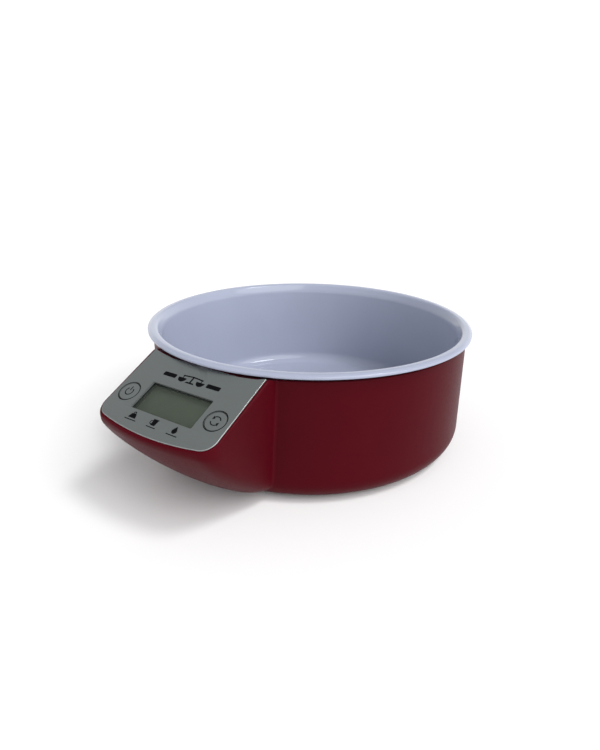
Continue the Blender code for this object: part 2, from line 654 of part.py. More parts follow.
def make_board():
    centre = on_panel(0, DISPLAY_CENTRE)
    low = BOARD_FACE - BOARD_THICK
    board = plate("main_board", rectangle(*BOARD_HALF, 0.0030), low, BOARD_FACE, PANEL, centre)
    for i, p in enumerate(BOARD_SCREWS):
        cut(board, cylinder(f"board_hole_{i}", 0.0013, low - 0.001, 0, PANEL, on_panel(*p), 12))
        screw(f"board_screw_{i + 1}", PANEL, on_panel(*p), low - GAP - 0.0011, low - GAP, -0.0050, 0.0021, 0.0009, 12)
    finish(board, "board")
    dome = [(0, low - GAP), (0.0055, low - GAP), (0.0053, low - 0.0010), (0.0042, low - 0.0016), (0.0022, low - 0.0019),
            (0, low - 0.0020)]
    finish(turned("controller_chip", dome, steps=24, parent=PANEL, at=(*centre, 0)), "black_plastic")
    plug = box("sensor_plug", (0.0080, 0.0045, 0.0032), low - GAP - 0.0032, PANEL, on_panel(-0.0120, 0.0155))
    finish(plug, "sealant")


# ---- wiring -------------------------------------------------------------------------------------
def panel_point(across, down, depth):
    """A point below the panel's face, in the tub's frame."""
    return tuple(PANEL.matrix_basis @ Vector((across, -down, -depth)))


def make_wiring():
    """The load cell's cable and the two battery leads, from the base to the board in the console."""
    cable = [
        (-0.0242, 0, 0.0053), (-0.0275, -0.0012, 0.0050), (-0.0315, -0.0080, 0.0045), (-0.0330, -0.0220, 0.0044),
        (-0.0290, -0.0420, 0.0044), (-0.0210, -0.0640, 0.0046), (-0.0150, -0.0800, 0.0064), (-0.0125, -0.0890, 0.0140),
        (-0.0120, -0.0940, 0.0280), (-0.0120, -0.0975, 0.0380), panel_point(-0.0120, 0.0155, 0.0140),
    ]
    wire("load_cell_cable", cable, 0.0012, "grey_cable")
    for i, (colour, side) in enumerate((("red", 1), ("black", -1))):
        shift = 0.0011 * side
        tail = 0.0197 * side
        start = [(DOOR_CENTRE[0] + tail + 0.0003 * side, DOOR_CENTRE[1], 0.0062)]
        if side > 0:
            start += [(0.0240, 0.0420, 0.0050), (0.0320, 0.0280, 0.0044)]
        else:
            start = [(-0.0182, 0.0440, 0.0052), (-0.0190, 0.0380, 0.0046), (-0.0120, 0.0240, 0.0044),
                     (0.0100, 0.0190, 0.0044), (0.0260, 0.0170, 0.0044)]
        run = [
            (0.0345 + shift, 0.0060, 0.0044), (0.0340 + shift, -0.0200, 0.0044), (0.0280 + shift, -0.0450, 0.0044),
            (0.0200 + shift, -0.0660, 0.0046), (0.0150 + shift, -0.0800, 0.0064), (0.0135 + shift, -0.0890, 0.0140),
            (0.0130 + shift, -0.0940, 0.0280), (0.0130 + shift, -0.0975, 0.0380),
            panel_point(0.0130 + shift, 0.0155, 0.0103),
        ]
        wire(f"battery_lead_{colour}", start + run, 0.0006, f"{colour}_wire")


def main():
    make_housing()
    make_bowl()
    make_platform()
    make_load_cell()
    make_cell_screws()
    make_base_cover()
    make_feet()
    make_base_screws()
    make_battery()
    make_overlay()
    make_buttons()
    make_display()
    make_board()
    make_wiring()


main()
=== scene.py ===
"""Looks of the kitchen scale: fine shell, bowl, label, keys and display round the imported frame.

Shapes are worked out in millimetres, either about the tub's axis or in the control panel's plane,
and turned into metres in the frame's axes when their mesh is made.
"""
import json
import math

import bmesh
import bpy
import numpy as np
from mathutils import Matrix, Vector
from mathutils.geometry import tessellate_polygon


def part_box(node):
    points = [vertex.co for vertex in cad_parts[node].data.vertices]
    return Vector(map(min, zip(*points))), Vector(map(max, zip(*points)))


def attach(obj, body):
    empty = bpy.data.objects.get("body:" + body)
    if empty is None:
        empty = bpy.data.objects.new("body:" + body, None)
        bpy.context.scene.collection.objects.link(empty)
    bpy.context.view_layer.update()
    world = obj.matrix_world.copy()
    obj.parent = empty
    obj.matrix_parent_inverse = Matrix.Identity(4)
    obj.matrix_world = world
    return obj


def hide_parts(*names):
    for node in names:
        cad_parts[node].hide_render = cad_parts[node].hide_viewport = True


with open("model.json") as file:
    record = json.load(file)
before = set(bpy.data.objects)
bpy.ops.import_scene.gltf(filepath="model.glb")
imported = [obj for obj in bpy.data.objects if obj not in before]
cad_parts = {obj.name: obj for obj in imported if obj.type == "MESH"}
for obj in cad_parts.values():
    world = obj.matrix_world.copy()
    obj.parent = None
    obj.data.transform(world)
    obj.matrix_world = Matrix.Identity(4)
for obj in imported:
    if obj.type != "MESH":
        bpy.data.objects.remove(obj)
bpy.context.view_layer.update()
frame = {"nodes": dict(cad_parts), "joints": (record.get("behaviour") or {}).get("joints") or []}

MM = 0.001

# ---- places, read from the frame ----------------------------------------------------------------
bowl_low, bowl_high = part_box("bowl")
shell_low, shell_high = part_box("housing")
label_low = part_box("panel_overlay")[0]
key_axis = next(j for j in frame["joints"] if j["name"] == "zero_key_press")["axis"]

AXIS_Y = (bowl_low.y + bowl_high.y) / 2
RIM_RADIUS = (bowl_high.x - bowl_low.x) / 2 / MM
RIM_TOP = bowl_high.z / MM
TUB_BOTTOM = shell_low.z / MM
LEDGE_TOP = shell_high.z / MM                  # highest edge of the console, beside the rim
NOSE_REACH = (AXIS_Y - shell_low.y) / MM       # from the tub's axis to the tip of the nose
TUB_FOOT_RADIUS = (shell_high.y - AXIS_Y) / MM
SLOPE = math.asin(key_axis[1])

# ---- shape of the shell, in millimetres ---------------------------------------------------------
FILLET_STEPS, CONSOLE_STEPS, TUB_STEPS = 8, 130, 150          # points along half of the shell's plan
FOOT_STEPS, WALL_STEPS, BRIM_STEPS = 14, 36, 7                # rows of faces up the shell
PLAN_ROWS, PLAN_SAMPLES = 271, 1200            # heights at which the plan is worked out, and its fineness
CAVITY_STEPS, CAVITY_SAMPLES, CAVITY_BIAS = 22, 60, 1.4       # the bias sets more rows near the floor
TUB_FLARE = 0.8                # the wall leans out by this much towards the underside
TUB_RADIUS = TUB_FOOT_RADIUS - TUB_FLARE
TUB_TOP = 66.0
TUB_FOOT_ROUND = 11.5
WALL = 2.2
PANEL_WALL = 2.0
LIP_ROUND = 0.7
RIM_CLEARANCE = 0.8            # round the bowl's rim
RIM_ROOM_TOP = 80.0            # clear above everything
RIM_ROOM_EDGE, RIM_ROOM_FOOT = 67.4, 93.2      # height and radius where the rim's room slopes in
OPENING_RADIUS = 80.0          # of the hole in the underside that the base cover fills
POST_RADIUS, POST_BORE, POST_CIRCLE = 3.6, 1.7, 75.5
POST_LOW, POST_HIGH = 4.4, 8.2
POST_ANGLES = (20, 160, 200, 340)
LABEL_LENGTH, LABEL_DEPTH, LABEL_PROUD = 44.5, 0.7, 0.3
NOSE_BAND = 1.7                # height of the upright band at the nose, under the panel's edge
NOSE_BOW = 2.6                 # how far the nose's front edge bows forward in its middle
NOSE_CORNER = 8.5
LOW_CORNER_GROWTH = 8.5        # how much rounder the nose's corners are at the foot
CONSOLE_HALF_WIDTHS = (34.6, 36.6)             # above the keel, and at the top
KEEL_HALF_WIDTH, KEEL_ROUND, KEEL_HEEL = 20.0, 12.0, 5.0
KEEL_INSET = 0.5               # how far the console's foot stands inside the tub's wall
BOW_BULGE = 17.5               # how full the console's underside is, ahead of a straight slope
BOW_SPREAD = 1.2               # the bow is averaged over this far up and down
PANEL_EDGE_ROUND = 1.0
CREASE_FILLET = 1.3            # how far the fillet beside the tub reaches along each wall

# ---- the panel, in its own plane: across, and up the slope --------------------------------------
LABEL_HALF_WIDTH = 34.9
DISPLAY_CENTRE = (0.0, -25.4)
DISPLAY_HALF = (18.9, 8.2)
LENS_HALF, LENS_LOW, LENS_TOP = (20.3, 9.6), -1.8, -1.02
LENS_CLEARANCE = 0.3           # between the lens and the shell's opening round it
KEY_CENTRES = {"zero": (-27.0, -26.2), "mode": (27.0, -26.2)}
KEY_RADIUS = 5.0               # 0.4 less than the frame's keys
KEY_CLEARANCE = 0.3            # between a key and the label
KEY_RING_WIDTH = 0.34
STEM_HOLE = 3.6
LABEL_GAP = 0.8                # between the label and the room kept for the rim
POCKET_CLEARANCE = 0.15        # between the label and its pocket
LABEL_CORNER, POCKET_CORNER = NOSE_CORNER - 1.3, NOSE_CORNER - 1.2
EMBLEM_Y, PICTURES_Y = -10.6, -37.0
INK_LOW, INK_TOP = LABEL_PROUD - 0.02, LABEL_PROUD + 0.02

# ---- the bowl, about the tub's axis -------------------------------------------------------------
FLOOR_TOP, BOWL_WALL = 10.8, 1.5
FLOOR_CORNER = 7.5             # round between the bowl's floor and its wall
FOOT_OF_WALL = 84.0            # inner radius where that round ends

TUB = Matrix.Translation((0, AXIS_Y, 0)) @ Matrix.Scale(MM, 4)
panel_y = label_low.y + MM * (LABEL_LENGTH * math.cos(SLOPE) + LABEL_PROUD * math.sin(SLOPE))
panel_z = label_low.z + MM * (LABEL_LENGTH * math.sin(SLOPE) + LABEL_DEPTH * math.cos(SLOPE))
PANEL = Matrix.Translation((0, panel_y, panel_z)) @ Matrix.Rotation(SLOPE, 4, "X") @ Matrix.Scale(MM, 4)
PANEL_Y, PANEL_Z = (AXIS_Y - panel_y) / MM, panel_z / MM
PANEL_NORMAL = Vector((0, -math.sin(SLOPE), math.cos(SLOPE)))
NOSE_TOP = PANEL_Z - (NOSE_REACH - PANEL_Y) * math.tan(SLOPE)


# ---- mesh tools ---------------------------------------------------------------------------------
def piece(name, bm, matrix, smooth=30):
    """An object from a bmesh in millimetres, set in the frame by a matrix."""
    bmesh.ops.recalc_face_normals(bm, faces=bm.faces)
    mesh = bpy.data.meshes.new(name)
    bm.to_mesh(mesh)
    bm.free()
    mesh.transform(matrix)
    obj = bpy.data.objects.new(name, mesh)
    bpy.context.scene.collection.objects.link(obj)
    soften(obj, smooth)
    return obj


def soften(obj, angle=30):
    obj.data.shade_smooth()
    obj.data.set_sharp_from_angle(angle=math.radians(angle))


def loft(rings):
    """A bmesh skin through rings of points, capped at its two ends."""
    bm = bmesh.new()
    made = [[bm.verts.new(p) for p in ring] for ring in rings]
    for lower, upper in zip(made, made[1:]):
        for i, vert in enumerate(lower):
            j = (i + 1) % len(lower)
            bm.faces.new((vert, lower[j], upper[j], upper[i]))
    cap(bm, made[0])
    cap(bm, made[-1])
    return bm


def cap(bm, verts):
    """Fills a ring of vertices with triangles."""
    for triangle in tessellate_polygon([[v.co for v in verts]]):
        bm.faces.new([verts[i] for i in triangle])


def turned(profile, steps=192):
    """A closed bmesh from (radius, height) points turned about Z; its two ends may lie on the axis."""
    bm = bmesh.new()
    rows = []
    for r, z in profile:
        if r < 1e-6:
            rows.append([bm.verts.new((0, 0, z))])
        else:
            rows.append([bm.verts.new((*polar(r, 2 * math.pi * i / steps), z)) for i in range(steps)])
    on_axis = len(rows[0]) == 1
    pairs = list(zip(rows, rows[1:])) + ([] if on_axis else [(rows[-1], rows[0])])
    for a, b in pairs:
        for i in range(steps):
            j = (i + 1) % steps
            quad = [a[i % len(a)], a[j % len(a)], b[j % len(b)], b[i % len(b)]]
            corners = list(dict.fromkeys(quad))
            if len(corners) > 2:
                bm.faces.new(corners)
    return bm


def polar(radius, angle):
    return radius * math.cos(angle), radius * math.sin(angle)


def arc(centre, radius, start, end, steps):
    """Points of an arc in degrees, both ends included."""
    angles = [math.radians(start + (end - start) * i / steps) for i in range(steps + 1)]
    return [(centre[0] + radius * math.cos(a), centre[1] + radius * math.sin(a)) for a in angles]


def rounded(points, radii, steps=6):
    """A polyline with each inner corner replaced by a curve about as tight as its radius."""
    line = [points[0]]
    for a, b, c, radius in zip(points, points[1:], points[2:], radii):
        a, b, c = Vector(a), Vector(b), Vector(c)
        back, ahead = (a - b).normalized(), (c - b).normalized()
        half = back.angle(ahead) / 2
        reach = min(radius / math.tan(half), 0.49 * (a - b).length, 0.49 * (c - b).length)
        start, end = b + back * reach, b + ahead * reach
        for i in range(steps + 1):
            t = i / steps
            line.append(tuple((1 - t) ** 2 * start + 2 * t * (1 - t) * b + t * t * end))
    return [*line, points[-1]]


def rectangle(half_x, half_y, corner, steps=6, centre=(0, 0)):
    points = []
    for i, (sx, sy) in enumerate([(1, 1), (-1, 1), (-1, -1), (1, -1)]):
        middle = (centre[0] + sx * (half_x - corner), centre[1] + sy * (half_y - corner))
        points += arc(middle, corner, 90 * i, 90 * i + 90, steps)
    return points


def inset(outline, distance):
    """The outline of a closed counter-clockwise polygon, drawn in by a distance along its normals."""
    count = len(outline)
    moved = []
    for i, p in enumerate(outline):
        before, after = Vector(outline[i - 1]), Vector(outline[(i + 1) % count])
        along = (after - before).normalized()
        moved.append((p[0] - along.y * distance, p[1] + along.x * distance))
    return moved


def prism(outline, low, high):
    """A flat outline between two heights, with sharp edges."""
    return loft([[(x, y, z) for x, y in outline] for z in (low, high)])


def soft_plate(outline, low, high, edge, steps=5):
    """A flat outline between two heights, whose upper edge is rounded."""
    rings = [[(x, y, low) for x, y in outline]]
    for i in range(steps + 1):
        a = math.pi / 2 * i / steps
        drawn = inset(outline, edge * (1 - math.cos(a)))
        rings.append([(x, y, high - edge + edge * math.sin(a)) for x, y in drawn])
    return loft(rings)


def boolean(target, operation, bm, matrix):
    """Cuts a closed bmesh out of an object's mesh, or adds it, for good."""
    tool = piece("tool", bm, matrix)
    modifier = target.modifiers.new("boolean", "BOOLEAN")
    modifier.operation = operation
    modifier.solver = "MANIFOLD"
    modifier.object = tool
    bpy.context.view_layer.update()
    graph = bpy.context.evaluated_depsgraph_get()
    mesh = bpy.data.meshes.new_from_object(target.evaluated_get(graph))
    target.modifiers.clear()
    target.data = mesh
    bpy.data.objects.remove(tool)
    soften(target)


def cut(target, bm, matrix=TUB):
    boolean(target, "DIFFERENCE", bm, matrix)


def add(target, bm):
    boolean(target, "UNION", bm, TUB)


def cylinder(radius, low, high, centre=(0, 0), steps=48):
    circle = arc((0, 0), radius, 0, 360, steps)[:-1]
    return prism([(centre[0] + x, centre[1] + y) for x, y in circle], low, high)


# ---- outline of the console, at a height --------------------------------------------------------
def smooth_mean(function, height):
    """The mean of a function about a height, which rounds its corners."""
    return sum(function(height + BOW_SPREAD * (i - 3) / 3) for i in range(7)) / 7


def bow_reach(height):
    """How far the console's underside stands ahead of the tub's axis."""
    top = NOSE_TOP - NOSE_BAND
    share = min(1.0, max(0.0, (height - TUB_BOTTOM) / (top - TUB_BOTTOM)))
    chord = TUB_RADIUS - KEEL_INSET + share * (NOSE_REACH - TUB_RADIUS + KEEL_INSET)
    heel = max(0.0, 1 - max(0.0, height - TUB_BOTTOM) / KEEL_HEEL)
    return chord + BOW_BULGE * share * (1 - share) * (0.85 + 0.3 * share) - KEEL_HEEL * heel ** 2


def console_half_width(height):
    low, high = CONSOLE_HALF_WIDTHS
    full = low + (high - low) * min(1.0, height / PANEL_Z)
    rise = min(1.0, max(0.0, (height - TUB_BOTTOM) / KEEL_ROUND))
    return KEEL_HALF_WIDTH + (full - KEEL_HALF_WIDTH) * math.sqrt(1 - (1 - rise) ** 2)


def front_half(half, front, corner, back=-60.0):
    """Right half of a panel's outline: its straight side, its corner, and its bowed front to the middle."""
    inner = half - corner
    turn = 0.0
    for _ in range(6):
        meet = inner + corner * math.sin(turn)
        turn = math.atan(2 * NOSE_BOW * meet / inner ** 2)
    centre_y = front + NOSE_BOW * (meet / inner) ** 2 + corner * math.cos(turn)
    points = [(half, back)]
    points += reversed(arc((inner, centre_y), corner, math.degrees(turn) - 90, 0, 24))
    for i in range(1, 31):
        left = 1 - i / 30
        points.append((meet * left, front + NOSE_BOW * (meet / inner * left) ** 2))
    return points


def console_half_outline(height, drawn_in=0.0):
    """Right half of the console's plan at a height, drawn in by a wall's thickness where it is given."""
    half = console_half_width(height) - drawn_in
    reach = smooth_mean(bow_reach, height) - drawn_in
    depth = max(0.0, 1 - height / NOSE_TOP)
    corner = min(NOSE_CORNER + LOW_CORNER_GROWTH * depth ** 1.5, half * 0.8) - drawn_in * 0.8
    return front_half(half, -reach, corner)


def tub_radius(height):
    """Radius of the tub's outside at a height."""
    foot = TUB_FOOT_ROUND
    edge = TUB_FOOT_RADIUS
    rise = height - TUB_BOTTOM
    if rise < foot:
        return edge - foot + math.sqrt(max(0.0, foot ** 2 - (foot - rise) ** 2))
    return edge - TUB_FLARE * (rise - foot) / (TUB_TOP - TUB_BOTTOM - foot)


def resample(points, count):
    """Evenly spaced points along a polyline, both ends included."""
    line = np.array(points, float)
    run = np.concatenate([[0], np.cumsum(np.hypot(*np.diff(line, axis=0).T))])
    at = np.linspace(0, run[-1], count)
    return np.stack([np.interp(at, run, line[:, i]) for i in (0, 1)], axis=1)


def shell_half_outline(height):
    """Right half of the shell's plan: the tub from its back, the fillet in the crease, then the console."""
    radius = tub_radius(height)
    half = resample(console_half_outline(height), PLAN_SAMPLES)
    outside = int(np.argmax(np.hypot(half[:, 0], half[:, 1]) > radius))
    inner, outer = half[outside - 1], half[outside]
    a, b = np.hypot(*inner), np.hypot(*outer)
    crease = inner + (outer - inner) * (radius - a) / (b - a)
    crease_angle = math.atan2(crease[1], crease[0])
    start_angle = crease_angle + CREASE_FILLET / radius
    angles = np.linspace(math.pi / 2, start_angle, TUB_STEPS)
    tub = np.stack([radius * np.cos(angles), radius * np.sin(angles)], axis=1)
    rest = np.concatenate([[crease], half[outside:]])
    run = np.concatenate([[0], np.cumsum(np.hypot(*np.diff(rest, axis=0).T))])
    at = np.linspace(CREASE_FILLET, run[-1], CONSOLE_STEPS)
    console = np.stack([np.interp(at, run, rest[:, i]) for i in (0, 1)], axis=1)
    t = np.linspace(0, 1, FILLET_STEPS + 2)[1:-1, None]
    fillet = (1 - t) ** 2 * tub[-1] + 2 * t * (1 - t) * crease + t * t * console[0]
    return np.concatenate([tub, fillet, console])


def shell_outline(height):
    """The whole plan, clockwise from the back; the mirrored half leaves out its two shared points."""
    half = shell_half_outline(height)
    other = half[::-1][1:-1] * (-1, 1)
    return np.concatenate([half, other])


def panel_height(y):
    """Height of the panel's face at a distance ahead of the axis."""
    return PANEL_Z + (y + PANEL_Y) * math.tan(SLOPE)


# ---- the shell ----------------------------------------------------------------------------------
def shell_solid():
    """The outside of tub and console as one closed skin: level rings, a rounded brim, then flat caps."""
    lattice = np.linspace(TUB_BOTTOM, LEDGE_TOP + 0.5, PLAN_ROWS)
    plans = np.array([shell_outline(z) for z in lattice])

    def plan(column, z):
        at = (z - lattice[0]) / (lattice[1] - lattice[0])
        low = int(min(max(at, 0), len(lattice) - 2))
        return plans[low, column] + (plans[low + 1, column] - plans[low, column]) * (at - low)

    count = plans.shape[1]
    first = TUB_STEPS + FILLET_STEPS // 2              # first column that belongs to the console
    last = count - first
    up = Vector((0, 0, 1))
    columns = []
    for i in range(count):
        console = first <= i <= last
        normal, radius, top = up, LIP_ROUND, TUB_TOP
        if console:
            top = LEDGE_TOP
            for _ in range(4):
                top = min(LEDGE_TOP, panel_height(plan(i, top)[1]))
            radius = PANEL_EDGE_ROUND
            if top < LEDGE_TOP - 1e-6:
                normal = PANEL_NORMAL
        edge = Vector((*plan(i, top), top))
        a, b = plan((i + 1) % count, top), plan(i - 1, top)
        wall = Vector((b[1] - a[1], a[0] - b[0], 0)).normalized()
        if wall.dot(Vector((edge.x, edge.y, 0))) < 0:
            wall.negate()
        centre = edge - (wall + normal) * (radius / (1 + wall.dot(normal)))
        brim = [centre + wall.slerp(normal, k / BRIM_STEPS) * radius for k in range(BRIM_STEPS + 1)]
        foot_rows = [TUB_BOTTOM + TUB_FOOT_ROUND * (1 - math.cos(math.pi / 2 * k / FOOT_STEPS))
                     for k in range(FOOT_STEPS)]
        start = TUB_BOTTOM + TUB_FOOT_ROUND
        wall_rows = [start + (brim[0].z - start) * k / WALL_STEPS for k in range(WALL_STEPS)]
        column = [Vector((*plan(i, z), z)) for z in foot_rows + wall_rows] + brim
        columns.append(column)
    bm = bmesh.new()
    grid = [[bm.verts.new(p) for p in column] for column in columns]
    for a, b in zip(grid, grid[1:] + grid[:1]):
        for k in range(len(a) - 1):
            bm.faces.new((a[k], a[k + 1], b[k + 1], b[k]))
    cap(bm, [column[0] for column in grid])
    ring = [column[-1] for column in grid]
    on_panel = [i for i in range(first, last + 1) if ring[i].co.z < LEDGE_TOP - 1e-4]
    a, b = on_panel[0] - 1, on_panel[-1] + 1
    cap(bm, ring[a:b + 1])
    cap(bm, ring[first:a + 1] + ring[b:last + 1])
    cap(bm, ring[last + 1:] + ring[:first])
    bm.faces.new((ring[first - 1], ring[first], ring[last], ring[last + 1]))
    return bm


def rim_room(extra=0.0):
    """The room over the tub that is kept free for the bowl's rim."""
    low, high = TUB_TOP + 0.2, RIM_ROOM_TOP
    edge = RIM_RADIUS + RIM_CLEARANCE + extra
    return turned([(0, high), (edge, high), (edge, RIM_ROOM_EDGE), (RIM_ROOM_FOOT + extra, low), (0, low)])


def well():
    """The room inside the tub, with a small flare that rounds the inner edge of its lip."""
    foot = TUB_FOOT_ROUND - WALL
    edge = TUB_FOOT_RADIUS - WALL
    low = TUB_BOTTOM + WALL
    corner = list(reversed(arc((edge - foot, low + foot), foot, -90, 0, 12)))
    lip = TUB_RADIUS - WALL
    flare = [(lip + LIP_ROUND * (1 - math.cos(a)), TUB_TOP - LIP_ROUND + LIP_ROUND * math.sin(a))
             for a in [math.pi / 2 * (5 - k) / 5 for k in range(6)]]
    return turned([(0, 75), (lip + LIP_ROUND, 75), *flare, *corner, (0, low)])


def console_cavity():
    """The room inside the console, under the panel's wall."""
    low = TUB_BOTTOM + WALL + 0.4
    heights = [low + (TUB_TOP - low) * (k / CAVITY_STEPS) ** CAVITY_BIAS for k in range(CAVITY_STEPS + 1)]
    rings = []
    for z in heights:
        half = [(x, y, z) for x, y in resample(console_half_outline(z, WALL), CAVITY_SAMPLES)]
        rings.append(half + [(-x, y, z) for x, y, z in reversed(half[:-1])])
    bm = loft(rings)
    point = Vector((0, -PANEL_Y, PANEL_Z)) - PANEL_NORMAL * PANEL_WALL
    geometry = bm.verts[:] + bm.edges[:] + bm.faces[:]
    sliced = bmesh.ops.bisect_plane(
        bm, geom=geometry, plane_co=point, plane_no=PANEL_NORMAL, clear_outer=True,
    )
    edges = [e for e in sliced["geom_cut"] if isinstance(e, bmesh.types.BMEdge)]
    bmesh.ops.holes_fill(bm, edges=edges)
    return bm


def label_outline(half, length, corner):
    """The label's outline, counter-clockwise, with a straight back edge above the panel's top."""
    right = front_half(half, -length, corner, back=4.0)
    return [(-x, y) for x, y in right] + [(x, y) for x, y in reversed(right[:-1])]


def make_shell():
    """Tub and console in one skin, hollow, with a pocket for the label and posts for the base screws."""
    shell = piece("tub_shell", shell_solid(), TUB)
    cut(shell, rim_room())
    cut(shell, well())
    cut(shell, cylinder(OPENING_RADIUS, -4, TUB_BOTTOM + WALL + 1, steps=192))
    cut(shell, console_cavity())
    pocket = label_outline(
        LABEL_HALF_WIDTH + POCKET_CLEARANCE, LABEL_LENGTH + POCKET_CLEARANCE, POCKET_CORNER,
    )
    cut(shell, prism(pocket, -1.0, 6.0), PANEL)
    opening = [side + LENS_CLEARANCE for side in LENS_HALF]
    cut(shell, prism(rectangle(*opening, 1.0, centre=DISPLAY_CENTRE), -5, 3), PANEL)
    for centre in KEY_CENTRES.values():
        cut(shell, cylinder(STEM_HOLE, -5, 3, centre), PANEL)
    for angle in POST_ANGLES:
        at = polar(POST_CIRCLE, math.radians(angle))
        add(shell, cylinder(POST_RADIUS, POST_LOW, POST_HIGH, at))
        cut(shell, cylinder(POST_BORE, -1, 10.5, at))
    return shell


# ---- materials ----------------------------------------------------------------------------------
NOISE_LOW, NOISE_HIGH = 0.3, 0.7               # the range that holds most of a noise's values


class Finish:
    """A material's node tree, built up by small named steps."""

    def __init__(self, name, colour, roughness, metallic=0.0, **sockets):
        self.material = bpy.data.materials.new(name)
        self.material.use_nodes = True
        self.tree = self.material.node_tree
        self.shader = self.tree.nodes["Principled BSDF"]
        self.colour = colour
        self.roughness = roughness
        self.shader.inputs["Base Color"].default_value = (*colour, 1)
        self.shader.inputs["Roughness"].default_value = roughness
        self.shader.inputs["Metallic"].default_value = metallic
        for socket, value in sockets.items():
            self.shader.inputs[socket.replace("_", " ")].default_value = value
        self.place = self.tree.nodes.new("ShaderNodeTexCoord").outputs["Object"]
        self.bumped = None

    def node(self, kind, **values):
        made = self.tree.nodes.new(kind)
        for name, value in values.items():
            made.inputs[name].default_value = value
        return made

    def link(self, a, b):
        self.tree.links.new(a, b)

    def noise(self, scale, detail=3.0, stretch=None):
        """A noise value over the object, in metres; stretch scales each axis."""
        made = self.node("ShaderNodeTexNoise", Scale=scale, Detail=detail)
        place = self.place
        if stretch:
            mapping = self.node("ShaderNodeMapping", Scale=stretch)
            self.link(place, mapping.inputs["Vector"])
            place = mapping.outputs["Vector"]
        self.link(place, made.inputs["Vector"])
        return made.outputs["Fac"]

    def spread(self, value, low, high):
        """Maps a noise value's middle range to low and high."""
        made = self.node("ShaderNodeMapRange")
        made.inputs["From Min"].default_value = NOISE_LOW
        made.inputs["From Max"].default_value = NOISE_HIGH
        made.inputs["To Min"].default_value = low
        made.inputs["To Max"].default_value = high
        self.link(value, made.inputs["Value"])
        return made.outputs["Result"]

    def vary_colour(self, value, amount):
        """Lets the colour drift by a share of itself, lighter and darker."""
        ramp = self.tree.nodes.new("ShaderNodeValToRGB")
        for stop, shift in zip(ramp.color_ramp.elements, (1 - amount, 1 + amount)):
            stop.color = (*[min(1.0, c * shift) for c in self.colour], 1)
        ramp.color_ramp.elements[0].position = NOISE_LOW
        ramp.color_ramp.elements[1].position = NOISE_HIGH
        self.link(value, ramp.inputs["Fac"])
        self.link(ramp.outputs["Color"], self.shader.inputs["Base Color"])

    def vary_roughness(self, value, amount):
        low, high = max(0.02, self.roughness - amount), min(1.0, self.roughness + amount)
        self.link(self.spread(value, low, high), self.shader.inputs["Roughness"])

    def bump(self, value, height, strength=1.0):
        """Adds a relief, in metres, on top of what is there."""
        made = self.node("ShaderNodeBump", Strength=strength, Distance=height)
        self.link(value, made.inputs["Height"])
        if self.bumped:
            self.link(self.bumped, made.inputs["Normal"])
        self.bumped = made.outputs["Normal"]
        self.link(self.bumped, self.shader.inputs["Normal"])
        return self


def dress(obj, finish):
    obj.data.materials.clear()
    obj.data.materials.append(finish.material)
    return obj


def red_plastic():
    made = Finish("moulded_red", (0.062, 0.0014, 0.0050), 0.40, Specular_IOR_Level=0.05)
    made.vary_colour(made.noise(38, 2), 0.04)
    made.vary_roughness(made.noise(900, 3), 0.04)
    return made.bump(made.noise(3200, 1), 0.000004, 0.12)


def white_plastic():
    made = Finish("glossy_cool_white", (0.343, 0.372, 0.474), 0.10, Specular_IOR_Level=0.30)
    made.vary_colour(made.noise(25, 2), 0.02)
    made.vary_roughness(made.noise(320, 5), 0.04)
    return made.bump(made.noise(38, 1), 0.0001, 0.10)


def silver_film():
    made = Finish("silver_film", (0.123, 0.136, 0.135), 0.42, 0.15, Specular_IOR_Level=0.3)
    made.vary_colour(made.noise(5200, 1), 0.07)
    made.vary_roughness(made.noise(300, 3), 0.05)
    return made.bump(made.noise(5200, 1), 0.00001, 0.4)


# Finish of the label's bevelled edge: lighter and more metallic than the film's face. This is a painted
# highlight for light caught along the edge. Its lower roughness is the edge's own gloss.
def label_edge_painted_highlight():
    made = Finish("painted_highlight_label_edge", (0.30, 0.31, 0.31), 0.24, 0.3)
    made.vary_colour(made.noise(700, 2), 0.08)
    made.vary_roughness(made.noise(900, 2), 0.05)
    return made.bump(made.noise(2500, 1), 0.000005, 0.3)


def ink():
    made = Finish("printed_ink", (0.004, 0.004, 0.005), 0.70, Specular_IOR_Level=0.03)
    made.vary_colour(made.noise(900, 2), 0.2)
    return made.bump(made.noise(3000, 1), 0.000005, 0.4)


def lcd_glass():
    made = Finish("lcd_face", (0.060, 0.075, 0.052), 0.22, Specular_IOR_Level=0.3)
    made.vary_colour(made.noise(90, 2), 0.04)
    made.vary_roughness(made.noise(700, 2), 0.03)
    return made.bump(made.noise(1500, 1), 0.000003, 0.08)


def clear_window():
    made = Finish("clear_window", (0.10, 0.12, 0.10), 0.06, Alpha=0.14, Specular_IOR_Level=0.8)
    made.vary_roughness(made.noise(500, 3), 0.03)
    return made.bump(made.noise(120, 1), 0.00002, 0.1)


def general(name, colour, roughness, metallic=0.0, grain=2200, relief=0.00002, stretch=None):
    """A plain engineering finish with fine grain, uneven gloss and a little drift in its colour."""
    made = Finish(name, colour, roughness, metallic)
    fine = made.noise(grain, 2, stretch)
    made.vary_colour(made.noise(180, 3, stretch), 0.08)
    made.vary_roughness(made.noise(420, 4, stretch), 0.08)
    return made.bump(fine, relief, 0.5)


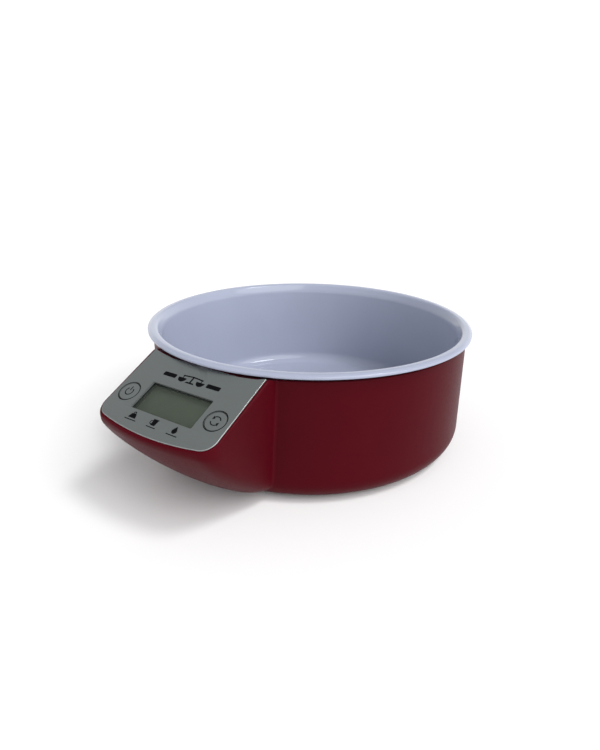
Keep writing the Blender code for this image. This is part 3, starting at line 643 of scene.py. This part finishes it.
finishes = {
    "red_plastic": red_plastic(),
    "white_plastic": white_plastic(),
    "silver_overlay": silver_film(),
    "black_plastic": general("matt_black_plastic", (0.022, 0.022, 0.024), 0.52),
    "clear_plastic": clear_window(),
    "lcd_glass": lcd_glass(),
    "board": general("solder_mask", (0.015, 0.13, 0.05), 0.35, grain=900),
    "rubber": general("rubber", (0.035, 0.035, 0.036), 0.85, relief=0.00005),
    "steel": general("zinc_plated_steel", (0.58, 0.58, 0.60), 0.32, 1.0, grain=1500),
    "aluminium": general("milled_aluminium", (0.72, 0.73, 0.75), 0.34, 1.0, stretch=(1.0, 0.06, 0.06)),
    "sealant": general("white_sealant", (0.80, 0.80, 0.77), 0.55, relief=0.00008),
    "red_wire": general("red_insulation", (0.50, 0.02, 0.02), 0.45),
    "black_wire": general("black_insulation", (0.02, 0.02, 0.02), 0.45),
    "grey_cable": general("grey_insulation", (0.32, 0.32, 0.33), 0.50),
}
ink_finish = ink()

NODE_SLOTS = {
    "base_cover": "black_plastic", "weighing_platform": "black_plastic", "battery_door": "black_plastic",
    "display_frame": "black_plastic", "zero_switch": "black_plastic", "mode_switch": "black_plastic",
    "zero_plunger": "black_plastic", "mode_plunger": "black_plastic", "controller_chip": "black_plastic",
    "display_window": "clear_plastic", "lcd_module": "lcd_glass", "main_board": "board",
    "contact_strip_1": "rubber", "contact_strip_2": "rubber", "load_cell": "aluminium",
    "gauge_sealant": "sealant", "sensor_plug": "sealant", "coin_cell": "steel",
    "battery_contact_top": "steel", "battery_contact_side": "steel", "load_cell_cable": "grey_cable",
    "battery_lead_red": "red_wire", "battery_lead_black": "black_wire", "housing": "red_plastic",
    "bowl": "white_plastic", "panel_overlay": "silver_overlay", "zero_button": "silver_overlay",
    "mode_button": "silver_overlay",
}


def node_slot(name):
    if "screw" in name:
        return "steel"
    return "rubber" if name.startswith("foot") else NODE_SLOTS[name]


for name, node in frame["nodes"].items():
    dress(node, finishes[node_slot(name)])


# ---- bowl ---------------------------------------------------------------------------------------
def bowl_profile():
    """Half a section: floor, wall and rim on the inside, then down the outside to the foot ring."""
    centre = (FOOT_OF_WALL - FLOOR_CORNER, FLOOR_TOP + FLOOR_CORNER)
    low = FLOOR_TOP - BOWL_WALL
    lip = [
        (FOOT_OF_WALL, centre[1]), (87.3, 65.4), (89.9, RIM_TOP), (93.3, RIM_TOP), (RIM_RADIUS, 69.3),
        (94.9, 67.9), (90.6, 67.9), (88.5, 64.6), (FOOT_OF_WALL + BOWL_WALL, centre[1]),
    ]
    brim = rounded(lip, (7.0, 3.4, 2.6, 1.1, 0.8, 1.2, 6.0), 8)[1:-1]
    foot = [(76.0, low), (71.6, low), (71.6, 8.0), (70.0, 8.0), (70.0, low), (60.0, low)]
    return [
        (0, FLOOR_TOP), (30, FLOOR_TOP), (60, FLOOR_TOP),
        *arc(centre, FLOOR_CORNER, -90, 0, 14),
        *brim,
        *reversed(arc(centre, FLOOR_CORNER + BOWL_WALL, -90, 0, 14)),
        *rounded(foot, (0.4, 0.3, 0.3, 0.4), 4)[1:-1],
        (30, low), (0, low),
    ]


def make_bowl():
    bowl = piece("weighing_bowl", turned(bowl_profile(), 256), TUB, 40)
    dress(bowl, finishes["white_plastic"])
    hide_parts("bowl")
    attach(bowl, "bowl")


# ---- label, keys and marks ----------------------------------------------------------------------
def make_label():
    outline = label_outline(LABEL_HALF_WIDTH, LABEL_LENGTH, LABEL_CORNER)
    label = piece("label_plate", soft_plate(outline, -LABEL_DEPTH, LABEL_PROUD, 0.35), PANEL)
    cut(label, rim_room(LABEL_GAP))
    cut(label, prism(rectangle(*DISPLAY_HALF, 0.7, centre=DISPLAY_CENTRE), -4, 4), PANEL)
    for centre in KEY_CENTRES.values():
        cut(label, cylinder(KEY_RADIUS + KEY_CLEARANCE, -4, 4, centre, 64), PANEL)
    dress(label, finishes["silver_overlay"])
    # The bevel's faces take the lighter edge finish, a painted highlight along the label's edge.
    label.data.materials.append(label_edge_painted_highlight().material)
    for polygon in label.data.polygons:
        if 0.05 < polygon.normal.dot(PANEL_NORMAL) < 0.97:
            polygon.material_index = 1
    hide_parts("panel_overlay")
    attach(label, "housing")


def make_key(name):
    """A key's cap with a soft edge, on a stem with a snap collar."""
    x, y = KEY_CENTRES[name]
    face, cap_low, collar_top, collar_low, end = LABEL_PROUD, -0.5, -2.4, -3.0, -3.9
    profile = [
        (0, face), (KEY_RADIUS - 0.6, face), (KEY_RADIUS - 0.25, face - 0.03),
        (KEY_RADIUS - 0.08, face - 0.12), (KEY_RADIUS, face - 0.3), (KEY_RADIUS, cap_low),
        (3.2, cap_low), (3.2, collar_top), (3.9, collar_top), (3.3, collar_low), (2.6, end), (0, end),
    ]
    place = PANEL @ Matrix.Translation((x, y, 0))
    key = piece(f"{name}_keycap", turned(profile, 72), place)
    dress(key, finishes["silver_overlay"])
    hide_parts(f"{name}_button")
    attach(key, f"{name}_key")


def stroke(points, width):
    """Outline of a line of even width through the points, with flat ends."""
    line = [Vector(p) for p in points]
    sides = []
    for i, p in enumerate(line):
        ahead = line[min(i + 1, len(line) - 1)] - line[max(i - 1, 0)]
        across = Vector((-ahead.y, ahead.x)).normalized() * (width / 2)
        sides.append((tuple(p - across), tuple(p + across)))
    return [s[0] for s in sides] + [s[1] for s in reversed(sides)]


def ring(bm, centre, radius, width, steps=96):
    """A flat ring of ink."""
    rows = []
    outer = radius + width
    for r, z in ((radius, INK_TOP), (outer, INK_TOP), (outer, INK_LOW), (radius, INK_LOW)):
        rows.append([bm.verts.new((centre[0] + x, centre[1] + y, z))
                     for x, y in arc((0, 0), r, 0, 360, steps)[:-1]])
    for a, b in zip(rows, rows[1:] + rows[:1]):
        for i in range(steps):
            j = (i + 1) % steps
            bm.faces.new((a[i], a[j], b[j], b[i]))


def mark(bm, outline, centre=(0, 0)):
    """A closed outline of ink, moved to a place on the panel."""
    rings = [[bm.verts.new((centre[0] + x, centre[1] + y, z)) for x, y in outline]
             for z in (INK_LOW, INK_TOP)]
    for i in range(len(outline)):
        j = (i + 1) % len(outline)
        bm.faces.new((rings[0][i], rings[0][j], rings[1][j], rings[1][i]))
    for verts in rings:
        cap(bm, verts)


def inked(name, bm, body):
    made = piece(name, bm, PANEL)
    dress(made, ink_finish)
    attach(made, body)


def make_key_marks():
    """A power sign on the left key and two turning arrows on the right one."""
    bm = bmesh.new()
    centre = KEY_CENTRES["zero"]
    mark(bm, stroke(arc((0, 0), 2.1, 130, 410, 30), 0.5), centre)
    mark(bm, stroke([(0, 0.5), (0, 2.9)], 0.5), centre)
    inked("zero_key_sign", bm, "zero_key")
    bm = bmesh.new()
    centre = KEY_CENTRES["mode"]
    for turn in (0, 180):
        mark(bm, stroke(arc((0, 0), 2.3, turn + 20, turn + 135, 16), 0.5), centre)
        tip, base_in, base_out = (arc((0, 0), r, turn + a, turn + a, 1)[0] for r, a in
                                  ((2.3, 172), (1.4, 134), (3.2, 134)))
        mark(bm, [base_in, base_out, tip], centre)
    inked("mode_key_sign", bm, "mode_key")


def make_label_marks():
    """Plain pictures on the label: scale pans over the display, and a weight, a jug and a drop under it."""
    bm = bmesh.new()
    y = EMBLEM_Y
    mark(bm, [(-2.8, y - 2.1), (2.8, y - 2.1), (2.0, y - 1.3), (-2.0, y - 1.3)])
    mark(bm, stroke([(0, y - 1.5), (0, y + 2.0)], 0.9))
    mark(bm, stroke([(-6.2, y + 1.6), (0, y + 2.1), (6.2, y + 1.6)], 0.7))
    for side in (-1, 1):
        mark(bm, [(side * 5.6 + x, y + h) for x, h in arc((0, 0.3), 2.5, 180, 360, 16)])
        mark(bm, stroke([(side * 5.6, y + 1.5), (side * 5.6, y + 0.2)], 0.5))
        mark(bm, rectangle(4.0, 1.15, 0.5, centre=(side * 13.6, y - 0.2)))
    inked("label_emblem", bm, "housing")
    bm = bmesh.new()
    y = PICTURES_Y
    mark(bm, [(-15.7, y - 1.5), (-11.1, y - 1.5), (-12.0, y + 0.8), (-14.8, y + 0.8)])
    ring(bm, (-13.4, y + 1.2), 0.35, 0.5, 24)
    mark(bm, [(-1.3, y - 1.5), (1.1, y - 1.5), (1.4, y + 1.4), (1.9, y + 1.9), (-1.8, y + 1.9),
              (-1.4, y + 1.3)])
    mark(bm, stroke([(-1.3, y + 0.9), (-2.4, y + 0.7), (-2.3, y - 0.7), (-1.3, y - 1.0)], 0.45))
    drop = arc((12.4, y - 0.3), 1.35, 150, 390, 22)
    mark(bm, [*drop, (12.4, y + 2.3)])
    for centre_x, half in ((-13.4, 3.6), (-0.2, 2.8), (12.4, 3.2)):
        mark(bm, rectangle(half, 0.22, 0.2, centre=(centre_x, y - 2.5)))
    inked("mode_pictures", bm, "housing")
    bm = bmesh.new()
    for centre in KEY_CENTRES.values():
        ring(bm, centre, KEY_RADIUS + KEY_CLEARANCE + 0.04, KEY_RING_WIDTH)
    inked("key_rings", bm, "housing")


def make_display_lens():
    outline = rectangle(*LENS_HALF, 0.8, centre=DISPLAY_CENTRE)
    lens = piece("display_lens", soft_plate(outline, LENS_LOW, LENS_TOP, 0.15, 3), PANEL)
    dress(lens, finishes["clear_plastic"])
    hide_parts("display_window")
    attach(lens, "housing")


# ---- studio -------------------------------------------------------------------------------------
FLOOR_RADIUS = 9000            # in millimetres, about forty times the scale's length
HORIZON_RISE, OVERHEAD_RISE = 0.30, 0.50       # sines of the angles between which the sky dims
OVERHEAD_LIGHT, WORLD_STRENGTH = 0.30, 1.3


def make_floor():
    """A pale floor without a visible edge."""
    bm = bmesh.new()
    bmesh.ops.create_circle(bm, cap_ends=True, segments=96, radius=FLOOR_RADIUS)
    floor = piece("studio_floor", bm, TUB)
    made = Finish("pale_floor", (0.90, 0.90, 0.905), 0.75, Specular_IOR_Level=0.2)
    made.vary_colour(made.noise(3, 2), 0.004)
    made.bump(made.noise(40, 2), 0.0002, 0.05)
    dress(floor, made)


def direction(azimuth, elevation):
    """A direction out from the scale, in degrees: azimuth 0 is in front of the panel, 90 on the +X side."""
    a, e = math.radians(azimuth), math.radians(elevation)
    return Vector((math.sin(a) * math.cos(e), -math.cos(a) * math.cos(e), math.sin(e)))


def sun(name, azimuth, elevation, strength, width):
    """A soft light from a direction, as wide as an angle in degrees."""
    light = bpy.data.lights.new(name, "SUN")
    light.energy = strength
    light.angle = math.radians(width)
    obj = bpy.data.objects.new(name, light)
    bpy.context.scene.collection.objects.link(obj)
    obj.rotation_mode = "QUATERNION"
    obj.rotation_quaternion = direction(azimuth, elevation).to_track_quat("Z", "Y")


def make_world():
    """A white studio: bright round the horizon, dimmer overhead."""
    world = bpy.data.worlds.new("studio")
    bpy.context.scene.world = world
    world.use_nodes = True
    tree = world.node_tree
    shader = tree.nodes["Background"]
    place = tree.nodes.new("ShaderNodeTexCoord")
    parts = tree.nodes.new("ShaderNodeSeparateXYZ")
    ramp = tree.nodes.new("ShaderNodeValToRGB")
    tree.links.new(place.outputs["Generated"], parts.inputs["Vector"])
    tree.links.new(parts.outputs["Z"], ramp.inputs["Fac"])
    horizon, overhead = ramp.color_ramp.elements
    horizon.position, horizon.color = HORIZON_RISE, (1.0, 1.0, 1.0, 1)
    overhead.position, overhead.color = OVERHEAD_RISE, (OVERHEAD_LIGHT, OVERHEAD_LIGHT, OVERHEAD_LIGHT, 1)
    tree.links.new(ramp.outputs["Color"], shader.inputs["Color"])
    shader.inputs["Strength"].default_value = WORLD_STRENGTH


def make_camera():
    """The view from the right of the console, a little above the rim."""
    azimuth, elevation, roll = 32.44, 21.61, math.radians(1.16)
    distance, look_height = 0.3325, 0.0355
    look = Vector((0, AXIS_Y, look_height))
    back = direction(azimuth, elevation)
    data = bpy.data.cameras.new("camera")
    camera = bpy.data.objects.new("camera", data)
    bpy.context.scene.collection.objects.link(camera)
    turn = (-back).to_track_quat("-Z", "Y").to_matrix().to_4x4()
    camera.matrix_world = Matrix.Translation(look + back * distance) @ turn @ Matrix.Rotation(roll, 4, "Z")
    data.sensor_width = 36
    data.lens = 25.28
    data.shift_x, data.shift_y = -0.0123, -0.0072
    data.clip_start = 0.01
    bpy.context.scene.camera = camera


make_camera()
shell_piece = dress(make_shell(), finishes["red_plastic"])
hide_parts("housing")
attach(shell_piece, "housing")
make_bowl()
make_label()
make_key("zero")
make_key("mode")
make_key_marks()
make_label_marks()
make_display_lens()
make_floor()
sun("key_light", 77, 46, 2.0, 50)
sun("streak_light", 103, 61, 0.85, 14)
make_world()
bpy.context.scene.view_settings.view_transform = "Standard"
